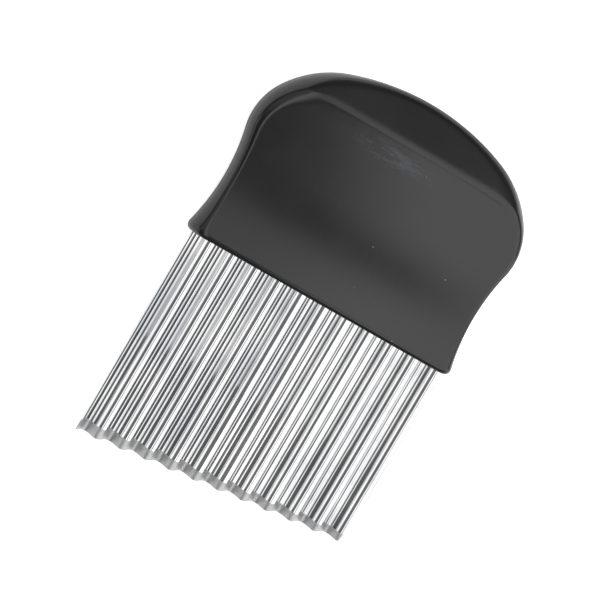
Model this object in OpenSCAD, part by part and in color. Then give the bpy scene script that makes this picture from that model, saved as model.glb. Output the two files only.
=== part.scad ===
// Crinkle soap cutter: a corrugated stainless blade with a slanted, bevelled cutting edge,
// held in a moulded two-shell handle with a thumb scoop on each side.
// Lying flat: +X to the right, +Y towards the dome of the handle, +Z out of the front face.
// All sizes are in millimetres.

/* [Handle outline] */
// Height of the handle, from its lower face to the top of the dome
handle_height = 64; // [62:0.5:68]
// Width across the shoulders, at the parting plane
shoulder_width = 87.6; // [86:0.2:90]
// Radius of each shoulder
shoulder_radius = 19.2; // [18:0.2:21]
// Height of the shoulder centres above the lower face
shoulder_height = 37; // [36:0.5:39]
// Slope at which each shoulder passes into the wider curve above it
shoulder_end_angle = 35; // [25:1:45]
// Radius of that wider curve, between the shoulder and the top of the dome
upper_radius = 31.5; // [26:0.5:36]
// Width at the waist, at the parting plane
waist_width = 83; // [82:0.2:84]
// Radius of the hollow curve at each side of the waist
waist_radius = 61; // [55:1:66]
// Radius of the two lower corners, seen from the front
corner_radius = 2; // [1:0.5:3]

/* [Handle section] */
// Half thickness of the handle at the deepest line of the scoop
scoop_half_thickness = 5; // [4.8:0.1:6]
// Radius of the scoop, about an axis across the handle
scoop_radius = 105; // [95:1:130]
// Height of the deepest line of the scoop above the lower face
scoop_height = 23; // [20:0.5:25]
// Height of the ridge, where the scoop meets the dome facet
ridge_height = 50.2; // [49:0.1:52]
// Slope of the dome facet, from the ridge back to the top
dome_slope = 22; // [18:1:24]
// Radius of the side of the handle about the parting plane
side_radius = 11.5; // [11:0.5:13]
// Radius that rolls the side over into the front and back faces
rim_radius = 6.6; // [6:0.1:7]
// Rounding along the lower edge of each face
lower_edge_radius = 1.6; // [1:0.1:2]
// Wall thickness of the shells
wall = 2.2; // [1.8:0.1:2.4]
// Thickness of the ribs inside the shells
rib_thickness = 1.8; // [1.4:0.1:2.2]

/* [Blade] */
// Number of waves across the blade
wave_count = 11; // [9:1:11]
// Distance from one wave to the next
wave_pitch = 7.6; // [7.2:0.1:7.6]
// Depth of the waves, crest to trough, at the middle of the sheet
wave_depth = 2.9; // [2.6:0.1:3.2]
// Distance from the left side of the blade to the start of its first trough
wave_start = 0.6; // [0.2:0.1:0.6]
// Thickness of the sheet
sheet_thickness = 0.6; // [0.4:0.1:0.8]
// Free length of the blade at its left side, below the handle
left_length = 64; // [55:0.2:66]
// Slope of the cutting edge across the blade
edge_slant = 5.6; // [0:0.1:7]
// Length of the ground bevel at the left end of the cutting edge
bevel_left = 3.4; // [2:0.1:5]
// Length of the ground bevel at the right end of the cutting edge
bevel_right = 2.4; // [2:0.1:5]
// How much further down the crests are ground than the troughs
edge_scallop = 0.6; // [0:0.1:1]
// Thickness left at the cutting edge
edge_thickness = 0.12; // [0.1:0.01:0.3]
// Radius of the long curve at the lower end of the right side
tip_curve_radius = 50; // [40:1:80]
// Height of that curve, measured up from the right end of the cutting edge
tip_curve_height = 10.5; // [6:0.5:14]

/* [Tang and fixings] */
// Length of the tang inside the handle
tang_length = 19.5; // [17:0.5:20]
// Width of the tang
tang_width = 78; // [74:1:79]
// Radius of the shoulders between the blade and the tang
tang_shoulder_radius = 3; // [2:0.5:4]
// How far below the handle the shoulders of the blade begin to round
tang_shoulder_drop = 1.6; // [1:0.1:2.5]
// Diameter of the two steel pins through the tang
pin_diameter = 3; // [2.5:0.1:3.5]
// Length of the pins
pin_length = 7.2; // [6:0.2:7.4]
// Distance of each pin from the middle
pin_offset = 13.3; // [10:0.1:16]
// Outer diameter of the screw threads
screw_diameter = 2.9; // [2.6:0.1:3.2]
// Diameter of the screw heads
screw_head_diameter = 5.6; // [5:0.1:6]
// Length of the screws under the head
screw_length = 7.6; // [7:0.1:7.8]
// Distance of the lower screws from the middle
lower_screw_x = 30; // [27:0.5:31]
// Height of the pins and the lower screws above the lower face
lower_screw_y = 10; // [9:0.5:11]
// Distance of the upper screws from the middle
upper_screw_x = 22; // [18:0.5:25]
// Height of the upper screws above the lower face
upper_screw_y = 44; // [42:0.5:46]

/* [Hidden] */
$fn = 96;

// Clearances
sheet_clearance = 0.1;
pin_clearance = 0.05;
thread_clearance = 0.05;
shank_clearance = 0.2;
head_clearance = 0.2;
seam_gap = 0.04;
reach = 200;

// Handle outline: centres and radii of the arcs, for the right-hand side
shoulder_x = shoulder_width / 2 - shoulder_radius;
upper_x = shoulder_x + (shoulder_radius - upper_radius) * cos(shoulder_end_angle);
upper_y = shoulder_height + (shoulder_radius - upper_radius) * sin(shoulder_end_angle);
dome_rise = handle_height - upper_y;
top_radius = (pow(upper_x, 2) + pow(dome_rise, 2) - pow(upper_radius, 2))
    / (2 * (dome_rise - upper_radius));
top_y = handle_height - top_radius;
waist_x = waist_width / 2 + waist_radius;
waist_y = shoulder_height
    - sqrt(pow(waist_radius + shoulder_radius, 2) - pow(waist_x - shoulder_x, 2));
top_angle = atan2(upper_y - top_y, upper_x);
waist_angle = atan2(waist_y - shoulder_height, waist_x - shoulder_x);
waist_sweep = 26;
waist_steps = 8;
shoulder_steps = 12;
upper_steps = 7;
top_steps = 4;

// Handle section: the ridge is the thickest line, and the rim rolls over just above it
rim_margin = 0.6;
side_steps = 2;
rim_steps = 6;
scoop_centre_z = scoop_half_thickness + scoop_radius;
ridge_z = scoop_centre_z - sqrt(pow(scoop_radius, 2) - pow(ridge_height - scoop_height, 2));
rim_z = ridge_z + rim_margin - rim_radius;
rim_inset = side_radius - sqrt(pow(side_radius - rim_radius, 2) - pow(rim_z, 2));
rim_start_angle = atan2(rim_z, side_radius - rim_inset);

// Lower edge and lower corners
edge_circle_z = scoop_centre_z
    - sqrt(pow(scoop_radius + lower_edge_radius, 2) - pow(lower_edge_radius - scoop_height, 2));
corner_x = waist_x - sqrt(pow(waist_radius + corner_radius, 2) - pow(corner_radius - waist_y, 2));

// Blade
blade_width = wave_pitch * wave_count;
wave_steps = 12;
right_length = left_length - blade_width * tan(edge_slant);

// Ribs and posts inside the shells
cross_rib_heights = [5.5, lower_screw_y, 15, tang_length + 1.2];
upright_rib_places = [-33, -11, 11, 33];
front_post_diameter = 6.4;
back_post_diameter = 8.4;
pin_post_wall = 2;
pin_chamfer = 0.3;
cut_length = 20;

// Screws
screw_core_diameter = 2.1;
thread_pitch = 1.1;
thread_start = 1;
screw_tip_length = 1.2;
screw_head_height = 1.8;
screw_head_rounding = 3.4;
screw_tip_radius = 0.3;
screw_seat_z = -3.6;
recess_width = 0.9;
recess_length = 3;
recess_depth = 1.1;

// Section of the rolled edge: how far inwards a point lies and its height, for a given slope
function side_point(inset, a) =
    [side_radius - (side_radius - inset) * cos(a), (side_radius - inset) * sin(a)];
function rim_point(inset, a) =
    [rim_inset - (rim_radius - inset) * cos(a), rim_z + (rim_radius - inset) * sin(a)];
function upper_edge(inset) = concat(
    [for (i = [1 : side_steps]) side_point(inset, rim_start_angle * i / side_steps)],
    [for (i = [1 : rim_steps])
        rim_point(inset, rim_start_angle + (90 - rim_start_angle) * i / rim_steps)]);
function rolled_edge(inset) =
    let (upper = upper_edge(inset), count = len(upper))
    concat([for (i = [count - 1 : -1 : 0]) [upper[i][0], -upper[i][1]]], [[inset, 0]], upper);

// Outline of the handle, so far inwards, from the lower right round to the lower left
function on_arc(centre, radius, a) = centre + radius * [cos(a), sin(a)];
function right_side(inward) = concat(
    [for (i = [0 : waist_steps - 1]) on_arc([waist_x, waist_y], waist_radius + inward,
        180 + waist_sweep + (waist_angle - waist_sweep) * i / waist_steps)],
    [for (i = [0 : shoulder_steps - 1]) on_arc([shoulder_x, shoulder_height],
        shoulder_radius - inward,
        waist_angle + (shoulder_end_angle - waist_angle) * i / shoulder_steps)],
    [for (i = [0 : upper_steps - 1]) on_arc([upper_x, upper_y], upper_radius - inward,
        shoulder_end_angle + (top_angle - shoulder_end_angle) * i / upper_steps)],
    [for (i = [0 : top_steps]) on_arc([0, top_y], top_radius - inward,
        top_angle + (90 - top_angle) * i / top_steps)]);
function outline(inward) =
    let (right = right_side(inward), count = len(right))
    concat(right, [for (i = [count - 2 : -1 : 0]) [-right[i][0], right[i][1]]]);

// The rolled edge swept round the outline, open-ended below the lower face
module swept_outline(inset) {
    levels = rolled_edge(inset);
    rings = [for (level = levels) outline(level[0])];
    n = len(rings[0]);
    m = len(levels);
    points = [for (k = [0 : m - 1]) for (q = rings[k]) [q[0], q[1], levels[k][1]]];
    skin = [for (k = [0 : m - 2]) for (i = [0 : n - 1])
        let (a = k * n + i, b = k * n + (i + 1) % n, c = b + n, d = a + n)
        for (t = [[a, c, b], [a, d, c]]) t];
    half = (n - 1) / 2;
    top = (m - 1) * n;
    caps = [for (i = [0 : half - 1])
        let (a = i, b = i + 1, c = n - 2 - i, d = n - 1 - i)
        for (t = i < half - 1
            ? [[a, b, c], [a, c, d], [top + a, top + c, top + b], [top + a, top + d, top + c]]
            : [[a, b, d], [top + a, top + d, top + b]]) t];
    polyhedron(points, concat(skin, caps), convexity = 6);
}

// Side view of one half of the handle: the scoop, the ridge and the dome facet
module side_view_half(inset) {
    facet_shift = inset / cos(dome_slope);
    far_y = handle_height + 2;
    drop = (far_y - ridge_height) * tan(dome_slope);
    difference() {
        polygon([[inset, -1], [inset, ridge_z + 1],
            [ridge_height - (1 + facet_shift) / tan(dome_slope), ridge_z + 1],
            [far_y, ridge_z - facet_shift - drop], [far_y, -1]]);
        translate([scoop_height, scoop_centre_z]) circle(scoop_radius + inset, $fn = 360);
    }
}

// Rounding of the lower edge, as the region to cut away in the side view
module lower_edge_cut() {
    reach_y = scoop_height - lower_edge_radius;
    reach_z = scoop_centre_z - edge_circle_z;
    touch = [lower_edge_radius, edge_circle_z]
        + [reach_y, reach_z] * lower_edge_radius / norm([reach_y, reach_z]);
    difference() {
        polygon([[-1, edge_circle_z], [lower_edge_radius, edge_circle_z], touch,
            [touch[0], ridge_z + 2], [-1, ridge_z + 2]]);
        translate([lower_edge_radius, edge_circle_z]) circle(lower_edge_radius);
    }
}

// The whole side view, the same to the front and to the back
module side_view(inset) {
    for (side = [0, 1])
        mirror([0, side]) side_view_half(inset);
}

// Rounding of the right lower corner, as the region to cut away in the front view
module corner_cut() {
    away = [waist_x - corner_x, waist_y - corner_radius];
    touch = [corner_x, corner_radius] + away * corner_radius / norm(away);
    difference() {
        polygon([[corner_x, -1], [corner_x, corner_radius], touch,
            [touch[0] + 5, touch[1]], [touch[0] + 5, -1]]);
        translate([corner_x, corner_radius]) circle(corner_radius);
    }
}

// Extrudes a side view along X
module across() {
    rotate([90, 0, 90]) linear_extrude(reach, center = true) children();
}

// The form of the handle, so far inside its outer faces
module handle_form(inset) {
    intersection() {
        swept_outline(inset);
        across() side_view(inset);
    }
}

// The outer form, with the lower edges and the lower corners rounded
module outer_form() {
    difference() {
        intersection() {
            swept_outline(0);
            across()
                difference() {
                    side_view(0);
                    lower_edge_cut();
                    mirror([0, 1]) lower_edge_cut();
                }
        }
        for (side = [0, 1])
            mirror([side, 0, 0]) linear_extrude(reach, center = true) corner_cut();
    }
}

// The sheet is rolled into even waves. A point of its middle line: x, height and slope
function sheet_point(x) =
    let (turn = 360 * (x + blade_width / 2 - wave_start) / wave_pitch)
    [x, -wave_depth / 2 * sin(turn), -atan(PI * wave_depth / wave_pitch * cos(turn))];
sheet_path = concat(
    [sheet_point(-blade_width / 2)],
    [for (i = [0 : wave_count * wave_steps - 2])
        sheet_point(wave_start - blade_width / 2 + i * wave_pitch / wave_steps)],
    [sheet_point(blade_width / 2)]);

// A point of the sheet, so far above its middle
function off_path(p, d) = [p[0] - d * sin(p[2]), p[1] + d * cos(p[2])];

// Height of the cutting edge and length of the bevel at a point of the path
function edge_y(p) =
    -left_length + (p[0] + blade_width / 2) * tan(edge_slant) - edge_scallop * p[1] / wave_depth;
function bevel_length(p) =
    bevel_left + (bevel_right - bevel_left) * (p[0] / blade_width + 0.5);
function blade_corner(q, y) = [q[0], y, q[1]];
blade_reach = -min([for (p = sheet_path) edge_y(p)]);

// The origin of the part is below the middle of its box
lift = [0, (blade_reach - handle_height) / 2, ridge_z];

// Six corners of the sheet at each point of the path: tang end, start of the bevel and
// cutting edge, each at the front and at the back of the sheet
function station(p) =
    let (front = off_path(p, sheet_thickness / 2), back = off_path(p, -sheet_thickness / 2),
        thin = off_path(p, edge_thickness - sheet_thickness / 2),
        low = edge_y(p), high = low + bevel_length(p))
    [blade_corner(front, tang_length), blade_corner(front, high), blade_corner(thin, low),
        blade_corner(back, low), blade_corner(back, high), blade_corner(back, tang_length)];

module corrugated_sheet() {
    count = len(sheet_path);
    points = [for (p = sheet_path) for (q = station(p)) q];
    skin = [for (i = [0 : count - 2]) for (j = [0 : 5])
        let (a = 6 * i + j, b = 6 * i + (j + 1) % 6, c = b + 6, d = a + 6)
        for (t = [[a, b, c], [a, c, d]]) t];
    last = 6 * (count - 1);
    ends = [[0, 5, 4], [0, 4, 1], [1, 4, 3], [1, 3, 2],
        [last, last + 4, last + 5], [last, last + 1, last + 4],
        [last + 1, last + 3, last + 4], [last + 1, last + 2, last + 3]];
    polyhedron(points, concat(skin, ends), convexity = 20);
}

// Front view of the blade: full width below the handle, narrower inside it
module blade_front_view() {
    half = blade_width / 2 + 1;
    round_x = blade_width / 2 - tang_shoulder_radius;
    shoulder_y = tang_shoulder_radius - tang_shoulder_drop;
    translate([-tang_width / 2, -5]) square([tang_width, tang_length + 10]);
    translate([-half, -left_length - 2])
        square([2 * half, left_length + 2 - tang_shoulder_drop]);
    translate([-round_x, -tang_shoulder_drop - 1]) square([2 * round_x, shoulder_y + 2.6]);
    for (side = [-1, 1])
        translate([side * round_x, -tang_shoulder_drop]) circle(tang_shoulder_radius);
}

// The long curve that draws in the lower end of the right side
module tip_cut() {
    centre = [blade_width / 2 - tip_curve_radius, tip_curve_height - right_length];
    difference() {
        translate([centre[0], centre[1] - tip_curve_radius])
            square([tip_curve_radius + 5, tip_curve_radius]);
        translate(centre) circle(tip_curve_radius, $fn = 360);
    }
}

// The two pins and the two lower screws pass through the tang
module tang_holes(clearance) {
    for (x = [-pin_offset, pin_offset])
        translate([x, lower_screw_y, 0])
            cylinder(d = pin_diameter + 2 * clearance, h = cut_length, center = true);
    for (x = [-lower_screw_x, lower_screw_x])
        translate([x, lower_screw_y, 0])
            cylinder(d = screw_diameter + 2 * clearance, h = cut_length, center = true);
}

module blade_body() {
    difference() {
        intersection() {
            corrugated_sheet();
            linear_extrude(cut_length, center = true) blade_front_view();
        }
        linear_extrude(cut_length, center = true) tip_cut();
        tang_holes(shank_clearance);
    }
}

// Everything past the parting surface of one shell, in a section across the tang: flat at the
// sides, and along the sheet between them, so that the ribs of both shells fill the waves
module past_parting(side, half_width) {
    gap = sheet_thickness / 2 + sheet_clearance;
    end_x = blade_width / 2 + 1;
    slot_path = concat([sheet_point(-end_x)], sheet_path, [sheet_point(end_x)]);
    intersection() {
        polygon(concat([for (p = slot_path) off_path(p, side * gap)],
            [[end_x, -side * reach / 2], [-end_x, -side * reach / 2]]));
        square([2 * half_width, 2 * reach], center = true);
    }
    for (end = [0, 1])
        mirror([end, 0])
            translate([half_width - seam_gap, side > 0 ? seam_gap / 2 - reach : -seam_gap / 2])
                square(reach);
}

// The parting surface cuts each shell along the tang, at the mouth and in the dome
module parting_cut(side) {
    tang_end = tang_length + sheet_clearance;
    translate([0, tang_end, 0])
        rotate([90, 0, 0])
            linear_extrude(tang_end + 5) past_parting(side, tang_width / 2 + 2 * sheet_clearance);
    mouth_depth = tang_shoulder_radius - tang_shoulder_drop + sheet_clearance;
    translate([0, mouth_depth, 0])
        rotate([90, 0, 0])
            linear_extrude(mouth_depth + 5) past_parting(side, blade_width / 2);
    translate([-reach / 2, tang_end, side > 0 ? seam_gap / 2 - reach : -seam_gap / 2])
        cube(reach);
}

// Ribs across the handle clamp the tang, and two upright ribs stiffen the dome
module ribs() {
    for (y = cross_rib_heights)
        translate([-reach / 2, y - rib_thickness / 2, -reach / 2])
            cube([reach, rib_thickness, reach]);
    for (x = upright_rib_places)
        translate([x - rib_thickness / 2, tang_length, -reach / 2])
            cube([rib_thickness, reach, reach]);
}

// Solid posts round the pins and the screws
module posts(screw_post_diameter) {
    for (x = [-pin_offset, pin_offset])
        translate([x, lower_screw_y, 0])
            cylinder(d = pin_diameter + 2 * pin_post_wall, h = cut_length, center = true);
    for (place = screw_places)
        translate([place[0], place[1], 0])
            cylinder(d = screw_post_diameter, h = cut_length, center = true);
}

screw_places = [[-lower_screw_x, lower_screw_y], [lower_screw_x, lower_screw_y],
    [-upper_screw_x, upper_screw_y], [upper_screw_x, upper_screw_y]];

// One shell before it is bored for the screws: outer wall, ribs and posts
module shell_blank(screw_post_diameter, side) {
    difference() {
        union() {
            difference() {
                outer_form();
                handle_form(wall);
            }
            intersection() {
                handle_form(wall / 2);
                union() {
                    ribs();
                    posts(screw_post_diameter);
                }
            }
        }
        parting_cut(side);
        for (x = [-pin_offset, pin_offset])
            translate([x, lower_screw_y, 0])
                cylinder(d = pin_diameter + 2 * pin_clearance, h = pin_length + 0.1, center = true);
    }
}

// A round steel pin with a small chamfer at each end
module tang_pin(x) {
    r = pin_diameter / 2;
    translate([x, lower_screw_y, -pin_length / 2])
        rotate_extrude()
            polygon([[0, 0], [r - pin_chamfer, 0], [r, pin_chamfer], [r, pin_length - pin_chamfer],
                [r - pin_chamfer, pin_length], [0, pin_length]]);
}

// Outline of half the screw, from the seat of the head to the tip
function thread_outline(z) = [
    [screw_core_diameter / 2, z + 0.1], [screw_diameter / 2, z + thread_pitch / 2],
    [screw_core_diameter / 2, z + thread_pitch - 0.1]];

module pan_head_screw() {
    threads = floor((screw_length - screw_tip_length - thread_start) / thread_pitch);
    core = screw_core_diameter / 2;
    difference() {
        union() {
            rotate_extrude()
                polygon(concat([[0, -0.5], [core, -0.5]],
                    [for (i = [0 : threads - 1])
                        for (q = thread_outline(thread_start + i * thread_pitch)) q],
                    [[core, screw_length - screw_tip_length], [screw_tip_radius, screw_length],
                        [0, screw_length]]));
            rotate_extrude()
                intersection() {
                    translate([0, -screw_head_height])
                        square([screw_head_diameter / 2, screw_head_height]);
                    translate([0, screw_head_rounding - screw_head_height])
                        circle(screw_head_rounding);
                }
        }
        for (turn = [0, 90])
            rotate([0, 0, turn])
                translate([-recess_length / 2, -recess_width / 2, -screw_head_height - 1])
                    cube([recess_length, recess_width, recess_depth + 1]);
    }
}

module placed_screw(place) {
    translate([place[0], place[1], screw_seat_z]) pan_head_screw();
}

module handle_front_shell() {
    color("#3a3b3d")
    translate(lift)
        difference() {
            shell_blank(front_post_diameter, 1);
            for (place = screw_places)
                translate([place[0], place[1], -1])
                    cylinder(d = screw_diameter + 2 * thread_clearance,
                        h = 1 + screw_seat_z + screw_length + 0.15);
        }
}

module handle_back_shell() {
    color("#37383a")
    translate(lift)
        difference() {
            shell_blank(back_post_diameter, -1);
            for (place = screw_places)
                translate([place[0], place[1], 0]) {
                    translate([0, 0, -cut_length])
                        cylinder(d = screw_diameter + 2 * shank_clearance, h = cut_length + 1);
                    translate([0, 0, -cut_length])
                        cylinder(d = screw_head_diameter + 2 * head_clearance,
                            h = cut_length + screw_seat_z);
                }
        }
}

module wavy_blade() {
    color("#c9ccd0") translate(lift) blade_body();
}

module tang_pin_left() {
    color("#a9adb2") translate(lift) tang_pin(-pin_offset);
}

module tang_pin_right() {
    color("#a9adb2") translate(lift) tang_pin(pin_offset);
}

module screw_lower_left() {
    color("#8d9196") translate(lift) placed_screw(screw_places[0]);
}

module screw_lower_right() {
    color("#8d9196") translate(lift) placed_screw(screw_places[1]);
}

module screw_upper_left() {
    color("#8d9196") translate(lift) placed_screw(screw_places[2]);
}

module screw_upper_right() {
    color("#8d9196") translate(lift) placed_screw(screw_places[3]);
}

handle_front_shell();
handle_back_shell();
wavy_blade();
tang_pin_left();
tang_pin_right();
screw_lower_left();
screw_lower_right();
screw_upper_left();
screw_upper_right();
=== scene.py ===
import math

import bmesh
import bpy
import numpy as np
from mathutils import Matrix, Vector


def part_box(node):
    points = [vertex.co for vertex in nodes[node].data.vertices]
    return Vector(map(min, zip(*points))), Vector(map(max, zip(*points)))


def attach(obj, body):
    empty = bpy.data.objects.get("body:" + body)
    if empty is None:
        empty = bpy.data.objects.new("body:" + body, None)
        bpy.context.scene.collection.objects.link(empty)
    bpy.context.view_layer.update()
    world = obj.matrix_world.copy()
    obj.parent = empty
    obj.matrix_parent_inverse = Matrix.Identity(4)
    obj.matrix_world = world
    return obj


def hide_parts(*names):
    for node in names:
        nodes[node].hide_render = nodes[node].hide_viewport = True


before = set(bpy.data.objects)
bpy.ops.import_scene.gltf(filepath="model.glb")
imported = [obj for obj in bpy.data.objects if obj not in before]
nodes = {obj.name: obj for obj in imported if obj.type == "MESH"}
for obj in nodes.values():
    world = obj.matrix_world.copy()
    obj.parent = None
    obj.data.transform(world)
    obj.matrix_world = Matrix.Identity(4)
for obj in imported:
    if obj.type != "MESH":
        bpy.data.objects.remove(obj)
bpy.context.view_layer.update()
scene = bpy.context.scene
scene.view_settings.view_transform = "Standard"

MM = 0.001

# Handle outline in millimetres, measured from the middle of its lower face
HANDLE_HEIGHT = 64.0
SHOULDER_X, SHOULDER_Y, SHOULDER_R = 24.6, 37.0, 19.2
SHOULDER_END = math.radians(35)
UPPER_R = 31.5
WAIST_HALF, WAIST_R = 41.5, 61.0

# Handle section
SCOOP_R, SCOOP_Y, SCOOP_HALF = 105.0, 23.0, 5.0
RIDGE_Y, DOME_SLOPE = 50.2, math.radians(22)
SIDE_R, RIM_R, RIM_MARGIN = 11.5, 6.6, 0.6
WALL = 2.2
SEAM = 0.02

# Rounding where the moulded faces meet: the rim grows softer towards the lower face and over
# the shoulders, and the ridge grows softer towards its ends
EDGE_ROUNDING, SHOULDER_ROUNDING, LOWER_ROUNDING, CORNER_ROUNDING = 0.8, 1.6, 1.6, 2.4
LOWER_FADE, SHOULDER_RISE = 3, (14, 46)
RIDGE_ROUNDING, RIDGE_END_ROUNDING, RIDGE_ENDS = 0.3, 1.1, (12, 34)
SEAM_GROOVE = 0.12

# Screw posts and wells: x, y and post height of each screw, seat of its head, and radii
SCREWS = ((-30, 10, 4.6), (30, 10, 4.6), (-22, 44, 5.6), (22, 44, 5.6))
SEAT_Z, WELL_R, BORE_R, THREAD_R, THREAD_END = -3.6, 3.0, 1.65, 1.5, 4.2
BACK_POST_R, FRONT_POST_R = 4.2, 3.2
PIN_X, PIN_HOLE_R = 13.3, 1.65

# Blade
WAVES, PITCH, DEPTH, START = 11, 7.6, 2.9, 0.6
SHEET, SHEET_CLEARANCE = 0.6, 0.1
BLADE_W = WAVES * PITCH
LEFT_LENGTH, EDGE_SLANT = 64.0, math.radians(5.6)
BEVEL_LEFT, BEVEL_RIGHT, SCALLOP, EDGE_T = 3.4, 2.4, 0.6, 0.12
TANG_LENGTH, TANG_W = 19.5, 78.0
SHOULDER_ROUND, SHOULDER_DROP = 3.0, 1.6
TIP_R, TIP_HEIGHT = 50.0, 10.5

# Fineness of the meshes: points tried along a curve, points of the rolled side, points of one
# wave, and the grid of each skin
CURVE_POINTS, SIDE_POINTS, WAVE_POINTS = 4001, 721, 44
SKIN_COLUMNS, SKIN_ROWS, MOUTH_ROWS = 80, 118, 12
# Points closer than this, in millimetres, are one point
SLIVER = 0.00005
# Reach of a block or rod that cuts right through the sheet, start of a bore behind the handle,
# and how far a bore runs past the parting plane, in millimetres
THROUGH, BEHIND, PAST = 10.0, -20.0, 1.0

# Where the handle's lower face and the parting plane lie in the part's frame
front_low, front_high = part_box("handle_front_shell")
back_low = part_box("handle_back_shell")[0]
FACE_Y = front_low.y
PARTING_Z = (back_low.z + front_high.z) / 2


def place(x, y, z):
    """A point in millimetres from the handle's lower face, as metres in the part's frame."""
    return Vector((x * MM, FACE_Y + y * MM, PARTING_Z + z * MM))


# Derived sizes of the handle
upper_x = SHOULDER_X + (SHOULDER_R - UPPER_R) * math.cos(SHOULDER_END)
upper_y = SHOULDER_Y + (SHOULDER_R - UPPER_R) * math.sin(SHOULDER_END)
rise = HANDLE_HEIGHT - upper_y
TOP_R = (upper_x ** 2 + rise ** 2 - UPPER_R ** 2) / (2 * (rise - UPPER_R))
top_y = HANDLE_HEIGHT - TOP_R
TOP_ANGLE = math.atan2(upper_y - top_y, upper_x)
waist_x = WAIST_HALF + WAIST_R
waist_y = SHOULDER_Y - math.sqrt((WAIST_R + SHOULDER_R) ** 2 - (waist_x - SHOULDER_X) ** 2)
WAIST_ANGLE = math.atan2(waist_y - SHOULDER_Y, waist_x - SHOULDER_X)
SCOOP_Z = SCOOP_HALF + SCOOP_R
RIDGE_Z = SCOOP_Z - math.sqrt(SCOOP_R ** 2 - (RIDGE_Y - SCOOP_Y) ** 2)
RIM_Z = RIDGE_Z + RIM_MARGIN - RIM_R
RIM_INSET = SIDE_R - math.sqrt((SIDE_R - RIM_R) ** 2 - RIM_Z ** 2)
RIM_START = math.atan2(RIM_Z, SIDE_R - RIM_INSET)


def half_width(y, inset):
    """Half the width of the outline at a height, after moving it inwards."""
    top_r, upper_r, shoulder_r = TOP_R - inset, UPPER_R - inset, SHOULDER_R - inset
    waist_r = WAIST_R + inset
    top = np.sqrt(np.maximum(top_r ** 2 - (y - top_y) ** 2, 0)) * (y < top_y + top_r)
    upper = upper_x + np.sqrt(np.maximum(upper_r ** 2 - (y - upper_y) ** 2, 0))
    shoulder = SHOULDER_X + np.sqrt(np.maximum(shoulder_r ** 2 - (y - SHOULDER_Y) ** 2, 0))
    waist = waist_x - np.sqrt(np.maximum(waist_r ** 2 - (y - waist_y) ** 2, 0))
    x = np.where(y < upper_y + upper_r * math.sin(TOP_ANGLE), upper, top)
    x = np.where(y < SHOULDER_Y + shoulder_r * math.sin(SHOULDER_END), shoulder, x)
    return np.where(y < SHOULDER_Y + shoulder_r * math.sin(WAIST_ANGLE), waist, x)


def face_height(y):
    """Half thickness of the handle on its middle line, before any edge is rounded."""
    scoop = SCOOP_Z - np.sqrt(SCOOP_R ** 2 - (y - SCOOP_Y) ** 2)
    dome = RIDGE_Z - (y - RIDGE_Y) * math.tan(DOME_SLOPE)
    return np.where(y < RIDGE_Y, scoop, dome)


def side_section(a):
    """Inset and height of the rolled side for a slope of its surface."""
    side = a < RIM_START
    inset = np.where(side, SIDE_R - SIDE_R * np.cos(a), RIM_INSET - RIM_R * np.cos(a))
    height = np.where(side, SIDE_R * np.sin(a), RIM_Z + RIM_R * np.sin(a))
    return inset, height


def ease(value, start, end):
    """Rises smoothly from 0 to 1 between two values."""
    f = np.clip((value - start) / (end - start), 0, 1)
    return f * f * (3 - 2 * f)


def meet(a, b, radius):
    """Depth below two surfaces that meet in an edge of a given rounding."""
    corner = np.hypot(np.maximum(radius - a, 0), np.maximum(radius - b, 0))
    return np.where((a >= radius) & (b >= radius), np.minimum(a, b), radius - corner)


def outline_depth(x, y):
    """How far inside the outline a point lies, seen from the front."""
    x = np.abs(x)
    shoulder_angle = np.arctan2(y - SHOULDER_Y, x - SHOULDER_X)
    upper_angle = np.arctan2(y - upper_y, x - upper_x)
    depth = np.where(upper_angle > TOP_ANGLE, TOP_R - np.hypot(x, y - top_y),
                     UPPER_R - np.hypot(x - upper_x, y - upper_y))
    depth = np.where((shoulder_angle < SHOULDER_END) & (x > SHOULDER_X),
                     SHOULDER_R - np.hypot(x - SHOULDER_X, y - SHOULDER_Y), depth)
    waist = np.hypot(x - waist_x, y - waist_y) - WAIST_R
    line = (y - SHOULDER_Y) - (x - SHOULDER_X) * math.tan(WAIST_ANGLE)
    return np.where(line < 0, waist, depth)


def handle_depth(p):
    """How far below the surface of the handle a point lies, edges rounded."""
    x, y, z = p[..., 0], p[..., 1], np.abs(p[..., 2])
    inset = outline_depth(x, y)
    side = SIDE_R - np.hypot(SIDE_R - inset, z)
    rim = np.where(inset < RIM_INSET, RIM_R - np.hypot(RIM_INSET - inset, z - RIM_Z),
                   RIM_Z + RIM_R - z)
    side = np.where(np.arctan2(z, SIDE_R - inset) < RIM_START, side, rim)
    scoop = np.hypot(y - SCOOP_Y, z - SCOOP_Z) - SCOOP_R
    dome = (RIDGE_Z - (y - RIDGE_Y) * math.tan(DOME_SLOPE) - z) * math.cos(DOME_SLOPE)
    out = ease(np.abs(x), *RIDGE_ENDS)
    face = meet(scoop, dome, RIDGE_ROUNDING + (RIDGE_END_ROUNDING - RIDGE_ROUNDING) * out)
    rounding = (EDGE_ROUNDING + (LOWER_ROUNDING - EDGE_ROUNDING) * np.exp(-(y / LOWER_FADE) ** 2)
                + (SHOULDER_ROUNDING - EDGE_ROUNDING) * ease(y, *SHOULDER_RISE))
    return meet(meet(side, y, CORNER_ROUNDING), face, rounding)


def gradient(p):
    """Outward direction of the depth at each point."""
    step = 1e-3
    g = np.stack([handle_depth(p - step * e) - handle_depth(p + step * e)
                  for e in np.eye(3)], -1) / (2 * step)
    return g / np.maximum(np.linalg.norm(g, axis=-1, keepdims=True), 1e-6)


def settle(p, depth):
    """Moves points along the surface's own direction until they lie at a depth."""
    moves, longest_move = 10, 0.8
    for _ in range(moves):
        error = handle_depth(p) - depth
        p = p + gradient(p) * np.clip(error, -longest_move, longest_move)[..., None]
    return p


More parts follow.
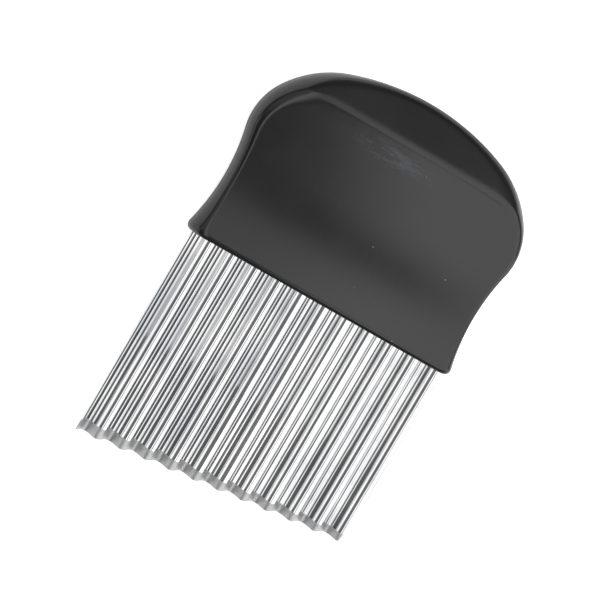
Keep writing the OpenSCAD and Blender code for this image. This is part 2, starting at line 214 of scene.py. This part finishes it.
def sheet_path():
    """Middle line of the rolled sheet: x, height and slope at each point."""
    x = np.linspace(-BLADE_W / 2, BLADE_W / 2, WAVES * WAVE_POINTS + 1)
    turn = 2 * math.pi * (x + BLADE_W / 2 - START) / PITCH
    slope = np.arctan(-math.pi * DEPTH / PITCH * np.cos(turn))
    return np.stack([x, -DEPTH / 2 * np.sin(turn), slope], -1)


PATH = sheet_path()


def parting_height(x, side):
    """Height of a shell's parting edge at the mouth: it follows the sheet, and it is flat in
    the last stretch beside the blade."""
    flat = 0.45
    gap = (SHEET / 2 + SHEET_CLEARANCE) * side
    height = np.interp(x, PATH[:, 0] - gap * np.sin(PATH[:, 2]),
                       PATH[:, 1] + gap * np.cos(PATH[:, 2]))
    return np.where(np.abs(x) > BLADE_W / 2 - flat, SEAM * side, height)


def spread(length, target, count):
    """Positions along a length whose spacing follows a target spacing."""
    s = np.linspace(0, length, CURVE_POINTS)
    total = np.concatenate([[0], np.cumsum(np.diff(s) / target((s[1:] + s[:-1]) / 2))])
    return np.interp(np.linspace(0, total[-1], count + 1), total, s)


def section_row(y, columns):
    """Points of the right half of a section, from the parting plane up to the middle."""
    a = np.linspace(0, math.pi / 2, SIDE_POINTS)
    inset, z = side_section(a)
    x = half_width(np.full_like(inset, y), inset)
    top = face_height(np.array([y]))[0]
    keep = (z <= top) & (x > 0)
    keep[0] = True
    xs, zs = x[keep], z[keep]
    last = len(xs) - 1
    if last + 1 < len(z) and x[last + 1] > 0:
        f = (top - z[last]) / (z[last + 1] - z[last])
        xs = np.append(xs, x[last] + f * (x[last + 1] - x[last]))
        zs = np.append(zs, top)
    edge = np.sum(np.hypot(np.diff(xs), np.diff(zs)))
    xs, zs = np.append(xs, 0.0), np.append(zs, zs[-1])
    s = np.concatenate([[0], np.cumsum(np.hypot(np.diff(xs), np.diff(zs)))])
    if s[-1] < 1e-6:
        return np.zeros(columns + 1), np.zeros(columns + 1)

    def spacing(q):
        """Close at the rim, wider on the side and widest on the face."""
        closest, more, reach = 0.22, 0.75, 2.4
        return closest + more * (1 - np.exp(-((q - edge) / reach) ** 2)) * (
            np.where(q < edge, 0.6, 1.0))

    at = spread(s[-1], spacing, columns)
    return np.interp(at, s, xs), np.interp(at, s, zs)


def handle_skin(side):
    """Grid of points over the outside of one shell: from its parting edge at the mouth, over
    the lower face and up to the dome, each row running from the left seam to the right seam."""
    y = np.linspace(0, HANDLE_HEIGHT, CURVE_POINTS)
    rim_inset, rim_height = side_section(np.linspace(0, math.pi / 2, SIDE_POINTS))
    over_rim = np.interp(HANDLE_HEIGHT - y, rim_inset, rim_height)
    z = np.minimum(face_height(y), over_rim)
    s = np.concatenate([[0], np.cumsum(np.hypot(np.diff(y), np.diff(z)))])
    ridge_s = np.interp(RIDGE_Y, y, s)

    def spacing(q):
        """Close at the lower face and at the ridge."""
        closest, more, lower_reach, ridge_reach = 0.2, 0.8, 3, 1.6
        return (closest + more * (1 - np.exp(-(q / lower_reach) ** 2))
                * (1 - 0.75 * np.exp(-((q - ridge_s) / ridge_reach) ** 2)))

    ys = np.interp(spread(s[-1], spacing, SKIN_ROWS), s, y)
    grid = []
    for row_y in ys:
        x, z = section_row(row_y, SKIN_COLUMNS)
        right = np.stack([x, np.full_like(x, row_y), z], -1)
        left = right[:-1] * [-1, 1, 1]
        grid.append(np.concatenate([left, right[::-1]]))
    grid = np.array(grid)
    edge = grid[0]
    drawn_in, crowding = 0.94, 1.6
    mouth = edge.copy()
    mouth[:, 0] *= drawn_in
    mouth[:, 2] = np.minimum(edge[:, 2], parting_height(mouth[:, 0], side) * side)
    cap = [edge + (mouth - edge) * (1 - i / MOUTH_ROWS) ** crowding for i in range(MOUTH_ROWS)]
    return np.concatenate([np.array(cap), grid])


def linked(name, data):
    """An object for a mesh, lamp or camera, linked to the scene."""
    item = bpy.data.objects.new(name, data)
    scene.collection.objects.link(item)
    return item


def meshed(name, bm):
    """An object with the mesh that was modelled in bm, which is freed."""
    mesh = bpy.data.meshes.new(name)
    bm.to_mesh(mesh)
    bm.free()
    return linked(name, mesh)


def combine(bm, *steps):
    """Joins, cuts or trims a closed mesh with others, in order, and returns the result."""
    body = meshed("passing", bm)
    others = []
    for operation, other in steps:
        others.append(meshed("passing", other))
        step = body.modifiers.new(operation, "BOOLEAN")
        step.operation, step.solver, step.object = operation, "MANIFOLD", others[-1]
    ready = body.evaluated_get(bpy.context.evaluated_depsgraph_get())
    result = bmesh.new()
    result.from_mesh(ready.to_mesh())
    for item in [body] + others:
        bpy.data.objects.remove(item)
    return result


def finish_piece(name, bm, replaced, sharp_angle=30.0):
    """Makes a piece of the object from a mesh in millimetres from the lower face. Points that
    only divide a straight edge are dissolved, and edges past the sharp angle stay crisp."""
    limit = math.radians(sharp_angle)
    bmesh.ops.remove_doubles(bm, verts=bm.verts, dist=SLIVER)
    bmesh.ops.dissolve_verts(bm, verts=[v for v in bm.verts if len(v.link_edges) == 2])
    for face in bm.faces:
        face.smooth = True
    for e in bm.edges:
        e.smooth = len(e.link_faces) == 2 and e.calc_face_angle(math.pi) < limit
    for v in bm.verts:
        v.co = place(*v.co)
    piece = meshed(name, bm)
    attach(piece, "root")
    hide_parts(replaced)
    return piece


def grid_mesh(bm, points):
    """Adds a grid and moves its vertices to the given points. Returns them, row by row. The
    rounding keeps the vertices of a row together when they are sorted."""
    fine = 1e5
    rows, columns = points.shape[:2]
    made = bmesh.ops.create_grid(bm, x_segments=columns - 1, y_segments=rows - 1, size=1.0)
    order = sorted(made["verts"], key=lambda v: (round(v.co.y * fine), round(v.co.x * fine)))
    for v, p in zip(order, points.reshape(-1, 3)):
        v.co = p
    return [order[r * columns:(r + 1) * columns] for r in range(rows)]


def close_skins(bm):
    """Bridges the open rims of two skins and turns all faces outwards."""
    rims = [e for e in bm.edges if e.is_boundary]
    bmesh.ops.bridge_loops(bm, edges=rims)
    bmesh.ops.recalc_face_normals(bm, faces=bm.faces)


def rods(places, radius, low, high=None):
    """Upright round rods at the given places, as one mesh of separate solids."""
    bm = bmesh.new()
    for x, y, top in places:
        top = top if high is None else high
        made = bmesh.ops.create_cone(bm, cap_ends=True, segments=64, radius1=radius,
                                     radius2=radius, depth=abs(top - low))
        bmesh.ops.translate(bm, verts=made["verts"], vec=(x, y, (low + top) / 2))
    return bm


def shell_skins(side):
    """The outer skin, the inner skin and the rim between them, of one moulded shell."""
    skin = handle_skin(side)
    seam = np.zeros(skin.shape[:2], bool)
    seam[:, [0, -1]] = True
    seam[-1] = True
    outer = settle(skin, 0.0)
    outer[0] = skin[0]
    inner = settle(outer - gradient(outer) * WALL, WALL)
    groove = seam.copy()
    groove[0] = False
    outer[groove] -= gradient(outer)[groove] * SEAM_GROOVE
    outer[groove, 2] = SEAM
    inner[seam, 2] = SEAM
    inner[0] = outer[0] + [0, WALL, 0]
    bm = bmesh.new()
    for points in (outer, inner):
        points[..., 2] *= side
        rows = grid_mesh(bm, points)
        bmesh.ops.pointmerge(bm, verts=rows[-1], merge_co=rows[-1][0].co.copy())
    close_skins(bm)
    return bm


def front_moulding():
    """Front shell, with the four posts that the screws bite into."""
    posts = rods(SCREWS, FRONT_POST_R, SEAM)
    bores = rods(SCREWS, THREAD_R, -PAST, THREAD_END)
    bm = combine(shell_skins(1), ("UNION", posts), ("DIFFERENCE", bores))
    return finish_piece("handle_front_moulding", bm, "handle_front_shell")


def back_moulding():
    """Back shell, with the four wells that the screw heads sit in."""
    posts = rods([(x, y, -z) for x, y, z in SCREWS], BACK_POST_R, -SEAM)
    wells = rods(SCREWS, WELL_R, BEHIND, SEAT_Z)
    bores = rods(SCREWS, BORE_R, BEHIND, PAST)
    bm = combine(shell_skins(-1), ("UNION", posts), ("DIFFERENCE", wells),
                 ("DIFFERENCE", bores))
    return finish_piece("handle_back_moulding", bm, "handle_back_shell")


def blade_outline():
    """Front view of the blade as a tall block: tang, rounded shoulders, drawn-in right tip."""
    margin, above, tip_drop, shoulder_steps, tip_points = 1, 25.0, 20, 12, 40
    tang, wide = TANG_W / 2, BLADE_W / 2 + margin
    middle_x, middle_y = BLADE_W / 2 - SHOULDER_ROUND, -SHOULDER_DROP
    right_length = LEFT_LENGTH - BLADE_W * math.tan(EDGE_SLANT)
    start = math.acos((tang - middle_x) / SHOULDER_ROUND)
    shoulder = [(middle_x + SHOULDER_ROUND * math.cos(start * (1 - i / shoulder_steps)),
                 middle_y + SHOULDER_ROUND * math.sin(start * (1 - i / shoulder_steps)))
                for i in range(shoulder_steps + 1)]
    tip = [(BLADE_W / 2 - TIP_R + TIP_R * math.cos(a),
            TIP_HEIGHT - right_length - TIP_R * math.sin(a))
           for a in np.linspace(0, math.asin(tip_drop / TIP_R), tip_points)]
    right = [(tang, above)] + shoulder + [(wide, middle_y), (wide, tip[0][1])] + tip
    left = [(-wide, tip[-1][1]), (-wide, middle_y)] + [(-x, y) for x, y in shoulder[::-1]]
    bm = bmesh.new()
    face = bm.faces.new([bm.verts.new((x, y, -THROUGH))
                         for x, y in right + left + [(-tang, above)]])
    raised = bmesh.ops.extrude_face_region(bm, geom=[face])["geom"]
    bmesh.ops.translate(bm, verts=[v for v in raised if isinstance(v, bmesh.types.BMVert)],
                        vec=(0, 0, 2 * THROUGH))
    bmesh.ops.recalc_face_normals(bm, faces=bm.faces)
    return bm


def blade():
    """Corrugated sheet with its ground bevel, trimmed to the blade's outline."""
    x, z, slope = PATH.T
    low = -LEFT_LENGTH + (x + BLADE_W / 2) * math.tan(EDGE_SLANT) - SCALLOP * z / DEPTH
    high = low + BEVEL_LEFT + (BEVEL_RIGHT - BEVEL_LEFT) * (x / BLADE_W + 0.5)
    plain, ground = 16, 3
    bm = bmesh.new()
    for face_side in (1, -1):
        rows = []
        for k in range(plain + ground + 1):
            f = min(k / plain, 1.0)
            g = max(k - plain, 0) / ground
            offset = face_side * SHEET / 2
            if face_side > 0:
                offset -= g * (SHEET - EDGE_T)
            y = TANG_LENGTH + (high - TANG_LENGTH) * f + (low - high) * g
            rows.append(np.stack([x - offset * np.sin(slope), y, z + offset * np.cos(slope)], -1))
        made = grid_mesh(bm, np.array(rows))
        if face_side > 0:
            bevel_verts = {v for row in made[plain:] for v in row}
            for face in bm.faces:
                if all(v in bevel_verts for v in face.verts):
                    face.material_index = 1
    close_skins(bm)
    screw_x, hole_y = SCREWS[1][:2]
    holes = rods([(sx * px, hole_y, 0) for sx in (-1, 1) for px in (PIN_X, screw_x)],
                 PIN_HOLE_R, -THROUGH, THROUGH)
    bm = combine(bm, ("INTERSECT", blade_outline()), ("DIFFERENCE", holes))
    return finish_piece("corrugated_blade", bm, "wavy_blade", sharp_angle=6.5)


def hex_colour(text):
    """A colour written as an sRGB hex value, turned to linear."""
    parts = [int(text[i:i + 2], 16) / 255 for i in (1, 3, 5)]
    return tuple(c / 12.92 if c <= 0.04045 else ((c + 0.055) / 1.055) ** 2.4
                 for c in parts) + (1.0,)


def add(material, kind, inputs=(), stops=(), **settings):
    """Adds a node with its settings, and links or sets its inputs, by name or in their order.
    Stops are the position and sRGB colour of each end of a colour ramp."""
    tree = material.node_tree
    node = tree.nodes.new(kind)
    for name, value in settings.items():
        setattr(node, name, value)
    for i, (at, colour) in enumerate(stops):
        node.color_ramp.elements[i].position = at
        node.color_ramp.elements[i].color = hex_colour(colour)
    for socket, value in inputs.items() if isinstance(inputs, dict) else enumerate(inputs):
        if isinstance(value, bpy.types.NodeSocket):
            tree.links.new(value, node.inputs[socket])
        else:
            node.inputs[socket].default_value = value
    return node


def new_material(name):
    """An empty material with its output node."""
    material = bpy.data.materials.new(name)
    material.use_nodes = True
    material.node_tree.nodes.clear()
    return material, add(material, "ShaderNodeOutputMaterial")


def finish_material(material, output, shader):
    """Links the shader to the output of its material."""
    material.node_tree.links.new(shader.outputs[0], output.inputs["Surface"])
    return material


def per_mm(size):
    """Scale of a pattern whose cells are so many millimetres wide."""
    return 1000.0 / size


def moulded_abs():
    # Black ABS from a spark-eroded mould: a satin skin, faint cloudiness, a little dust and,
    # under the ridge of the scoop, pale rubs of the thumb lightened further by a painted
    # highlight
    material, output = new_material("satin_moulded_black_abs")
    where = add(material, "ShaderNodeTexCoord").outputs["Object"]
    grain = add(material, "ShaderNodeTexNoise", {
        "Vector": where, "Scale": per_mm(0.5), "Detail": 3.0, "Roughness": 0.6}).outputs["Fac"]
    cloud = add(material, "ShaderNodeTexNoise", {
        "Vector": where, "Scale": per_mm(22), "Detail": 4.0, "Roughness": 0.6}).outputs["Fac"]
    colour = add(material, "ShaderNodeValToRGB", (cloud,),
                 stops=((0.3, "#0e0e0f"), (0.7, "#141416"))).outputs["Color"]
    dust = add(material, "ShaderNodeTexVoronoi", {
        "Vector": where, "Scale": per_mm(6.5), "Randomness": 1.0}).outputs["Distance"]
    speck = add(material, "ShaderNodeMapRange", (dust, 0.018, 0.034, 1.0, 0.0)).outputs["Result"]
    colour = add(material, "ShaderNodeMix", {
        "Factor": speck, "A": colour, "B": hex_colour("#8c8c8a")}, data_type="RGBA")
    fine = add(material, "ShaderNodeTexNoise", {
        "Vector": add(material, "ShaderNodeMapping", {
            "Vector": where, "Rotation": (0, 0, math.radians(24)),
            "Scale": (per_mm(3.5), per_mm(0.8), per_mm(3.5))}).outputs["Vector"],
        "Scale": 1.0, "Detail": 3.0}).outputs["Fac"]
    # A flat patch under the ridge, broken up by fine noise: thumb rubs, and also a painted
    # highlight
    rub_and_sheen_middle, rub_and_sheen_reach = place(-2.5, 46, 8), (0.016, 0.004, 0.006)
    rub_and_sheen = add(material, "ShaderNodeVectorMath", (where, tuple(rub_and_sheen_middle)),
                 operation="SUBTRACT").outputs["Vector"]
    rub_and_sheen = add(material, "ShaderNodeVectorMath", (rub_and_sheen, tuple(1 / r for r in rub_and_sheen_reach)),
                 operation="MULTIPLY").outputs["Vector"]
    rub_and_sheen = add(material, "ShaderNodeVectorMath", (rub_and_sheen,), operation="LENGTH").outputs["Value"]
    rub_and_sheen = add(material, "ShaderNodeMath", (
        add(material, "ShaderNodeMapRange", (rub_and_sheen, 0.2, 1.0, 1.0, 0.0)).outputs["Result"],
        add(material, "ShaderNodeMapRange", (fine, 0.45, 0.6, 0.0, 1.0)).outputs["Result"],
    ), operation="MULTIPLY").outputs["Value"]
    rough = add(material, "ShaderNodeMath", (
        rub_and_sheen, 0.16,
        add(material, "ShaderNodeMapRange", (cloud, 0.3, 0.7, 0.19, 0.23)).outputs["Result"],
    ), operation="MULTIPLY_ADD").outputs["Value"]
    # Lightens the colour towards blue-grey over the patch: worn plastic, and a painted highlight
    # below the ridge
    colour = add(material, "ShaderNodeMix", {
        "Factor": add(material, "ShaderNodeMath", (rub_and_sheen, 0.9),
                      operation="MULTIPLY").outputs["Value"],
        "A": colour.outputs["Result"], "B": hex_colour("#43454a")}, data_type="RGBA")
    bump = add(material, "ShaderNodeBump", {
        "Strength": 0.25, "Distance": 0.02 * MM, "Height": grain})
    shader = add(material, "ShaderNodeBsdfPrincipled", {
        "Base Color": colour.outputs["Result"], "Roughness": rough, "IOR": 1.5,
        "Normal": bump.outputs["Normal"]})
    return finish_material(material, output, shader)


def rolled_stainless():
    # Bright rolled stainless sheet: mirror bands along the waves, broken by fine lengthwise
    # rolling lines, with faint smears from handling
    material, output = new_material("bright_rolled_stainless")
    where = add(material, "ShaderNodeTexCoord").outputs["Object"]
    lines = add(material, "ShaderNodeTexNoise", {
        "Vector": add(material, "ShaderNodeMapping", {
            "Vector": where,
            "Scale": (per_mm(0.9), per_mm(40.0), per_mm(0.9))}).outputs["Vector"],
        "Scale": 1.0, "Detail": 1.0}).outputs["Fac"]
    smear = add(material, "ShaderNodeTexNoise", {
        "Vector": where, "Scale": per_mm(14), "Detail": 3.0}).outputs["Fac"]
    colour = add(material, "ShaderNodeValToRGB", (smear,),
                 stops=((0.35, "#c9cacc"), (0.65, "#dcdcdc"))).outputs["Color"]
    rough = add(material, "ShaderNodeMath", (
        add(material, "ShaderNodeMapRange", (lines, 0.3, 0.7, 0.01, 0.035)).outputs["Result"],
        add(material, "ShaderNodeMapRange", (smear, 0.35, 0.7, 0.02, 0.04)).outputs["Result"],
    ), operation="ADD").outputs["Value"]
    bump = add(material, "ShaderNodeBump", {
        "Strength": 0.08, "Distance": 0.01 * MM, "Height": lines})
    shader = add(material, "ShaderNodeBsdfPrincipled", {
        "Base Color": colour, "Roughness": rough, "Metallic": 1.0,
        "Normal": bump.outputs["Normal"]})
    return finish_material(material, output, shader)


def ground_stainless():
    # Wheel-ground bevel: matt, with short grinding lines that run down to the edge
    material, output = new_material("ground_stainless_bevel")
    where = add(material, "ShaderNodeTexCoord").outputs["Object"]
    lines = add(material, "ShaderNodeTexNoise", {
        "Vector": add(material, "ShaderNodeMapping", {
            "Vector": where,
            "Scale": (per_mm(0.3), per_mm(4.0), per_mm(0.3))}).outputs["Vector"],
        "Scale": 1.0, "Detail": 3.0}).outputs["Fac"]
    colour = add(material, "ShaderNodeValToRGB", (lines,),
                 stops=((0.35, "#c0c1c2"), (0.65, "#d4d4d4"))).outputs["Color"]
    rough = add(material, "ShaderNodeMapRange", (lines, 0.3, 0.7, 0.4, 0.5)).outputs["Result"]
    bump = add(material, "ShaderNodeBump", {
        "Strength": 0.3, "Distance": 0.02 * MM, "Height": lines})
    shader = add(material, "ShaderNodeBsdfPrincipled", {
        "Base Color": colour, "Roughness": rough, "Metallic": 1.0,
        "Normal": bump.outputs["Normal"]})
    return finish_material(material, output, shader)


def plated_steel(name, roughness):
    # Turned, zinc-plated steel: bright with faint turning marks round the axis
    material, output = new_material(name)
    where = add(material, "ShaderNodeTexCoord").outputs["Object"]
    marks = add(material, "ShaderNodeTexNoise", {
        "Vector": where, "Scale": per_mm(0.6), "Detail": 2.0}).outputs["Fac"]
    colour = add(material, "ShaderNodeValToRGB", (marks,),
                 stops=((0.35, "#a9abae"), (0.65, "#c6c7c9"))).outputs["Color"]
    rough = add(material, "ShaderNodeMapRange", (
        marks, 0.3, 0.7, roughness - 0.06, roughness + 0.08)).outputs["Result"]
    bump = add(material, "ShaderNodeBump", {
        "Strength": 0.2, "Distance": 0.02 * MM, "Height": marks})
    shader = add(material, "ShaderNodeBsdfPrincipled", {
        "Base Color": colour, "Roughness": rough, "Metallic": 1.0,
        "Normal": bump.outputs["Normal"]})
    return finish_material(material, output, shader)


# Glow added to the table for the camera, and for its mirror image in the tool
TABLE_LIFT, MIRRORED_LIFT = 0.8, 0.3


def white_table():
    # Matt white table. Its glow makes it plain white for the camera. Its mirror image glows
    # less, so that the side of the handle also mirrors the shadow that lies on the table
    material, output = new_material("matt_white_table")
    where = add(material, "ShaderNodeTexCoord").outputs["Object"]
    cloud = add(material, "ShaderNodeTexNoise", {
        "Vector": where, "Scale": per_mm(300), "Detail": 2.0}).outputs["Fac"]
    colour = add(material, "ShaderNodeValToRGB", (cloud,),
                 stops=((0.3, "#f4f4f4"), (0.7, "#f8f8f8"))).outputs["Color"]
    diffuse = add(material, "ShaderNodeBsdfDiffuse", {"Color": colour})
    seen = add(material, "ShaderNodeLightPath").outputs
    mirrored = add(material, "ShaderNodeMath", (
        seen["Is Glossy Ray"], seen["Is Transmission Ray"]), operation="MAXIMUM").outputs["Value"]
    mirrored = add(material, "ShaderNodeMath", (mirrored, MIRRORED_LIFT),
                   operation="MULTIPLY").outputs["Value"]
    lift = add(material, "ShaderNodeMath", (seen["Is Camera Ray"], TABLE_LIFT, mirrored),
               operation="MULTIPLY_ADD").outputs["Value"]
    glow = add(material, "ShaderNodeEmission", {"Strength": lift})
    both = add(material, "ShaderNodeAddShader", (diffuse.outputs[0], glow.outputs[0]))
    return finish_material(material, output, both)


def table():
    """The plain pale table that the tool lies on."""
    bm = bmesh.new()
    bmesh.ops.create_grid(bm, x_segments=8, y_segments=8, size=3.0)
    item = meshed("table", bm)
    item.data.materials.append(white_table())


def camera():
    """The photograph's view: a little from the left of the tool, which lies turned."""
    turn, tilt, roll = math.radians(15.55), math.radians(2.87), math.radians(30.42)
    aim, distance = place(-4.70, -1.91, 0), 1.0
    back = Vector((-math.sin(turn) * math.cos(tilt), math.sin(tilt),
                   math.cos(turn) * math.cos(tilt)))
    up = Vector((0, 1, 0))
    up = (up - back * up.dot(back)).normalized()
    right = up.cross(back)
    axis_x = right * math.cos(roll) + up * math.sin(roll)
    axis_y = up * math.cos(roll) - right * math.sin(roll)
    data = bpy.data.cameras.new("photo_camera")
    data.lens, data.sensor_width = 214.1, 36.0
    item = linked("photo_camera", data)
    turned = Matrix((axis_x, axis_y, back)).transposed().to_4x4()
    turned.translation = aim + back * distance
    item.matrix_world = turned
    scene.camera = item


def panel(name, width, length, middle, radiance, turn=0.0):
    """A soft panel of a size in metres, its middle measured in metres from the middle of the
    handle's lower face. It faces down, or at a turn of 90 degrees it faces right."""
    data = bpy.data.lights.new(name, "AREA")
    data.shape, data.size, data.size_y = "RECTANGLE", width, length
    data.energy = radiance * math.pi * width * length
    item = linked(name, data)
    item.location = place(0, 0, 0) + Vector(middle)
    item.rotation_euler = (0, -math.radians(turn), 0)
    item.visible_camera = False


def studio():
    """Level panels at one height over the tool, the bright ones at the right and the dim ones
    over the middle, the left and the far end, an upright card at each side, and plain walls
    that darken a little towards the ceiling."""
    height = 0.35
    panel("right_panel", 0.95, 0.6, (0.61, 0.04, height), 1.6)
    panel("lower_panel", 0.045, 0.26, (0.1125, -0.12, height), 2.1)
    panel("upper_panel", 0.08, 0.25, (0.05, 0.185, height), 1.0)
    panel("upper_strip", 0.045, 0.25, (0.1125, 0.185, height), 1.9)
    panel("back_panel", 0.8, 0.3, (0.2, 0.47, height), 0.25)
    panel("camera_panel", 0.095, 0.52, (-0.078, 0.02, height), 1.8)
    panel("middle_panel", 0.04, 0.36, (-0.01, 0.12, height), 0.9)
    panel("left_panel", 0.62, 0.58, (-0.44, 0.31, height), 0.5)
    panel("left_card", 0.12, 0.26, (-0.35, -0.115, 0.1), 1.2, turn=90)
    panel("right_card", 0.4, 0.4, (1.0, -0.22, 0.2), 1.6, turn=-90)
    world = bpy.data.worlds.new("studio")
    scene.world = world
    world.use_nodes = True
    world.node_tree.nodes.clear()
    output = add(world, "ShaderNodeOutputWorld")
    up = add(world, "ShaderNodeSeparateXYZ", (
        add(world, "ShaderNodeTexCoord").outputs["Generated"],)).outputs["Z"]
    walls = add(world, "ShaderNodeMapRange", (up, 0.2, 0.75, 0.32, 0.26)).outputs["Result"]
    sky = add(world, "ShaderNodeBackground", {"Strength": walls})
    world.node_tree.links.new(sky.outputs[0], output.inputs["Surface"])


handle_plastic = moulded_abs()
for piece in (front_moulding(), back_moulding()):
    piece.data.materials.append(handle_plastic)
blade_piece = blade()
blade_piece.data.materials.append(rolled_stainless())
blade_piece.data.materials.append(ground_stainless())
for names, finish in (
        (("tang_pin_left", "tang_pin_right"), plated_steel("turned_steel_pin", 0.3)),
        (("screw_lower_left", "screw_lower_right", "screw_upper_left", "screw_upper_right"),
         plated_steel("zinc_plated_screw", 0.36))):
    for name in names:
        for held in nodes[name].material_slots:
            held.material = finish
table()
camera()
studio()
